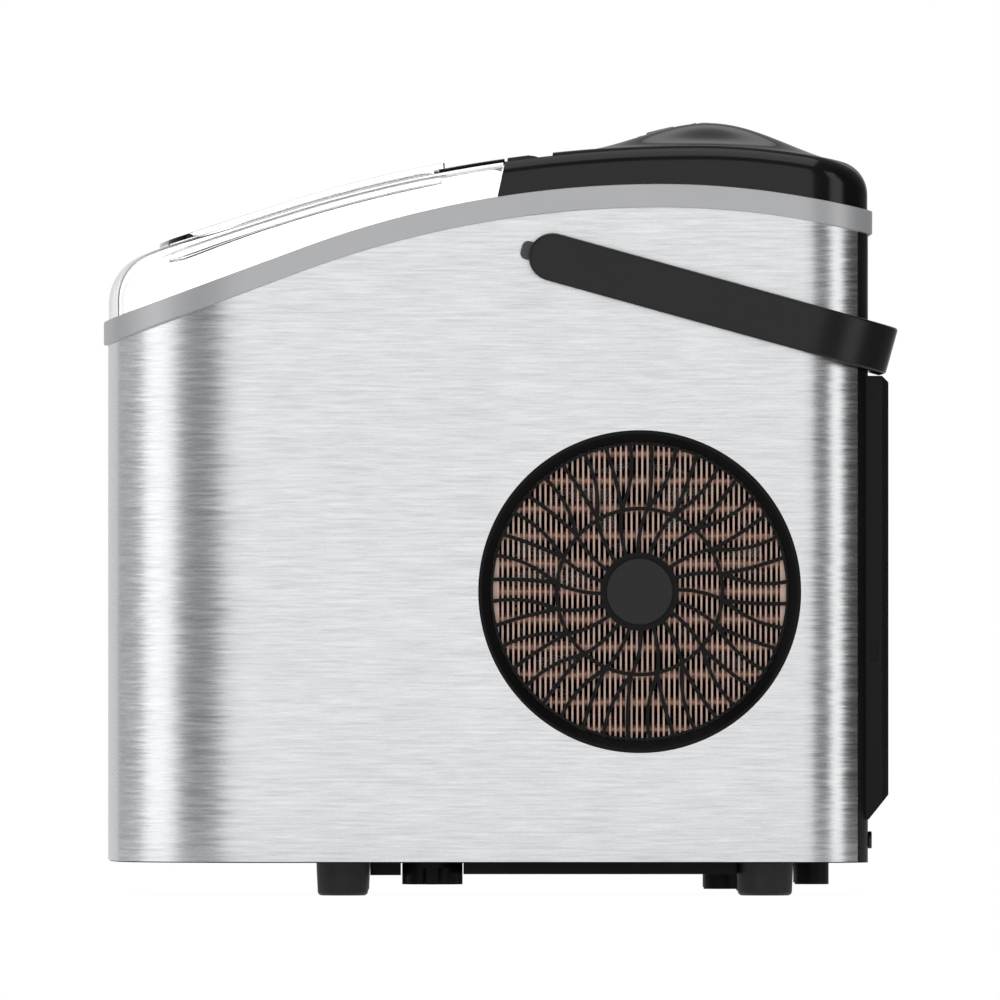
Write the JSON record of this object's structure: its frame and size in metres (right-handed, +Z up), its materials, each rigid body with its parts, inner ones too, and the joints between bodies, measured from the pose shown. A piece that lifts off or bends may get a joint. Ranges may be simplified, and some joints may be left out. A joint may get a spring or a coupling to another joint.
{
  "type": "countertop ice maker",
  "caption": "Countertop ice maker with clear hinged lid, lift-out ice basket, carrying handle, round side grille and compressor cooling.",
  "frame": {"origin": "on the standing surface, under the middle of the object", "axes": "+Z up, -Y the front with the clear lid, +X the side with the round grille"},
  "size_m": [0.2974, 0.3709, 0.3606],
  "materials": {
    "black_plastic": "satin moulded black",
    "gloss_black": "high gloss black",
    "brushed_steel": "brushed",
    "silver_plastic": "silver paint",
    "clear_plastic": "clear polycarbonate",
    "handle_plastic": "fine satin",
    "rubber": "matt",
    "screw_steel": "zinc plated",
    "copper": "bare copper",
    "fin_copper": "thin fin stock",
    "white_plastic": "smooth white",
    "foam": "foamed",
    "motor_plastic": "moulded grey",
    "compressor_paint": "black enamel",
    "zinc_sheet": "galvanised",
    "tinned_metal": "plated",
    "board_green": "solder mask",
    "lamp_lens": "light guide",
    "button_grey": "satin",
    "hose_silicone": "translucent silicone"
  },
  "bodies": {
    "housing": {"back_panel": "black_plastic", "back_panel_screws": "screw_steel", "base_tray": "black_plastic", "bulkhead": "zinc_sheet", "capillary_line": "copper", "compressor": "compressor_paint", "compressor_grommets": "rubber", "condenser_end_plates": "copper", "condenser_fins": "fin_copper", "condenser_tube": "copper", "control_board": "board_green", "control_panel": "gloss_black", "cord_gland": "rubber", "discharge_line": "copper", "drain_spout": "white_plastic", "evaporator_block": "tinned_metal", "evaporator_bracket": "zinc_sheet", "fan_motor": "motor_plastic", "fan_shroud": "black_plastic", "filter_drier": "copper", "foam_insulation": "foam", "foot_screws": "screw_steel", "freezing_fingers": "tinned_metal", "front_left_foot": "rubber", "front_right_foot": "rubber", "grille_cap": "handle_plastic", "ice_full_sensor": "black_plastic", "indicator_lamps": "lamp_lens", "inner_liner": "white_plastic", "left_handle_pivot": "motor_plastic", "pump_hose": "hose_silicone", "rear_left_foot": "rubber", "rear_right_foot": "rubber", "relay_cover": "motor_plastic", "right_handle_pivot": "motor_plastic", "shaft_bush": "white_plastic", "steel_shell": "brushed_steel", "suction_line": "copper", "top_cover": "gloss_black", "tray_motor": "motor_plastic", "trim_band": "silver_plastic", "vent_bezel": "black_plastic", "vent_grille": "black_plastic", "water_pump": "motor_plastic"},
    "lid": {"lid_window": "clear_plastic", "lid_hinge_bar": "gloss_black", "lid_hinge_pins": "screw_steel"},
    "handle": {"carry_handle": "handle_plastic"},
    "fan": {"fan_impeller": "black_plastic", "fan_shaft": "screw_steel"},
    "tray": {"water_tray": "white_plastic"},
    "pusher": {"ice_pusher": "white_plastic"},
    "basket": {"ice_basket": "white_plastic"},
    "power": {"power_button": "button_grey"},
    "size": {"size_button": "button_grey"},
    "clean": {"clean_button": "button_grey"},
    "drain": {"drain_cap": "black_plastic", "drain_seal": "rubber"}
  },
  "joints": [
    {"name": "lid_hinge", "type": "hinge", "parent": "housing", "child": "lid", "pos_m": [0, 0.01395, 0.3345], "axis": [-1, 0, 0], "range_deg": [0, 90]},
    {"name": "handle_swing", "type": "hinge", "parent": "housing", "child": "handle", "pos_m": [0, 0.0245, 0.2972], "axis": [1, 0, 0], "range_deg": [0, 105.5]},
    {"name": "fan_spin", "type": "hinge", "parent": "housing", "child": "fan", "pos_m": [0, 0.06495, 0.1417], "axis": [1, 0, 0], "continuous": true},
    {"name": "tray_tilt", "type": "hinge", "parent": "housing", "child": "tray", "pos_m": [0, 0.04995, 0.3], "axis": [1, 0, 0], "range_deg": [0, 80]},
    {"name": "pusher_swing", "type": "hinge", "parent": "housing", "child": "pusher", "pos_m": [0, 0.04995, 0.3], "axis": [-1, 0, 0], "range_deg": [0, 75]},
    {"name": "basket_lift", "type": "slide", "parent": "housing", "child": "basket", "axis": [0, 0, 1], "range_m": [0, 0.055]},
    {"name": "drain_cap_turn", "type": "hinge", "parent": "housing", "child": "drain", "pos_m": [0.07, -0.03155, 0.005], "axis": [0, 0, 1], "range_deg": [0, 90]},
    {"name": "power_press", "type": "slide", "parent": "housing", "child": "power", "axis": [0, 0.2334, -0.9724], "range_m": [0, 0.0008], "stiffness_N_per_m": 900, "springref_m": -0.0004},
    {"name": "size_press", "type": "slide", "parent": "housing", "child": "size", "axis": [0, 0.2334, -0.9724], "range_m": [0, 0.0008], "stiffness_N_per_m": 900, "springref_m": -0.0004},
    {"name": "clean_press", "type": "slide", "parent": "housing", "child": "clean", "axis": [0, 0.2334, -0.9724], "range_m": [0, 0.0008], "stiffness_N_per_m": 900, "springref_m": -0.0004}
  ]
}
